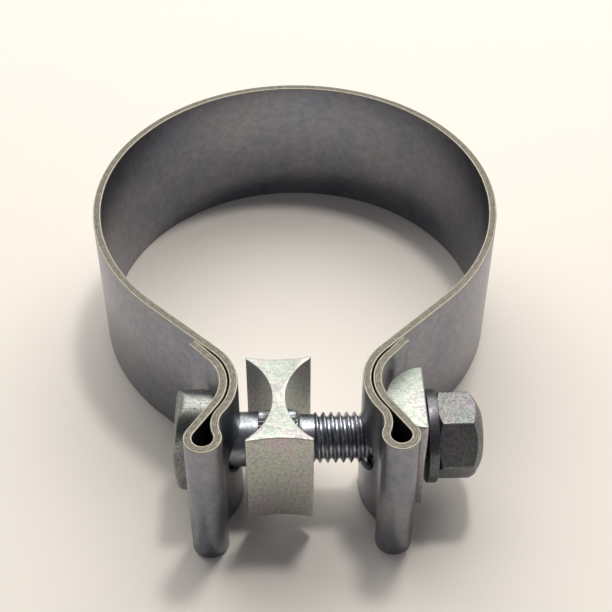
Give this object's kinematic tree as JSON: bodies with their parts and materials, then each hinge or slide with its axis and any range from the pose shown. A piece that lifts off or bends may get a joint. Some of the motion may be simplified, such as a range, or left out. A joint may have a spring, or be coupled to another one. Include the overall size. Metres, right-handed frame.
{
  "type": "single-bolt band clamp",
  "caption": "Flat steel band clamp for a round pipe joint: folded lugs drawn together by a T-head bolt, spool-shaped block, half-round bar, washer and hex nut.",
  "frame": {"origin": "centre of the pipe bore, at half the band's width", "axes": "+Z along the pipe, +X along the bolt from its head to the nut, -Y from the bore towards the bolt"},
  "size_m": [0.0858, 0.1119, 0.0318],
  "materials": {
    "band_steel": "cold-rolled mill finish, satin",
    "plated_bolt": "clear zinc plate on a rolled thread",
    "plated_block": "clear zinc plate with a faint rainbow film",
    "plated_washer": "clear zinc plate, punched",
    "plated_nut": "clear zinc plate, speckled"
  },
  "bodies": {
    "band_left_half": {"band_left": "band_steel"},
    "band_right_half": {"band_right": "band_steel"},
    "bolt": {"tee_bolt": "plated_bolt"},
    "block": {"reaction_block": "plated_block"},
    "bar": {"half_round_bar": "plated_block"},
    "loose_washer": {"washer": "plated_washer"},
    "nut": {"hex_nut": "plated_nut"}
  },
  "joints": [
    {"name": "band_flex", "type": "hinge", "parent": "band_left_half", "child": "band_right_half", "pos_m": [0, 0.0413, 0], "axis": [0, 0, 1], "range_deg": [-8.1, 0]},
    {"name": "bolt_swivel", "type": "hinge", "parent": "band_left_half", "child": "bolt", "pos_m": [-0.0236, -0.0528, 0], "axis": [0, 0, 1], "range_deg": [-4.05, 0]},
    {"name": "block_slide", "type": "slide", "parent": "bolt", "child": "block", "axis": [1, 0, 0], "range_m": [-0.0026, 0]},
    {"name": "bar_travel", "type": "slide", "parent": "bolt", "child": "bar", "axis": [1, 0, 0], "range_m": [-0.0134, 0]},
    {"name": "washer_spin", "type": "hinge", "parent": "bar", "child": "loose_washer", "pos_m": [0.0249, -0.0528, 0], "axis": [1, 0, 0], "continuous": true},
    {"name": "nut_turn", "type": "hinge", "parent": "bar", "child": "nut", "pos_m": [0.03, -0.0528, 0], "axis": [1, 0, 0], "range_deg": [-3120, 0]}
  ],
  "couplings": [
    {"joint": "band_flex", "follows": "nut_turn", "ratio": 0.0025269},
    {"joint": "bolt_swivel", "follows": "nut_turn", "ratio": 0.0012635},
    {"joint": "block_slide", "follows": "nut_turn", "m_per_rad": 0.00004591},
    {"joint": "bar_travel", "follows": "nut_turn", "m_per_rad": 0.00023873}
  ]
}
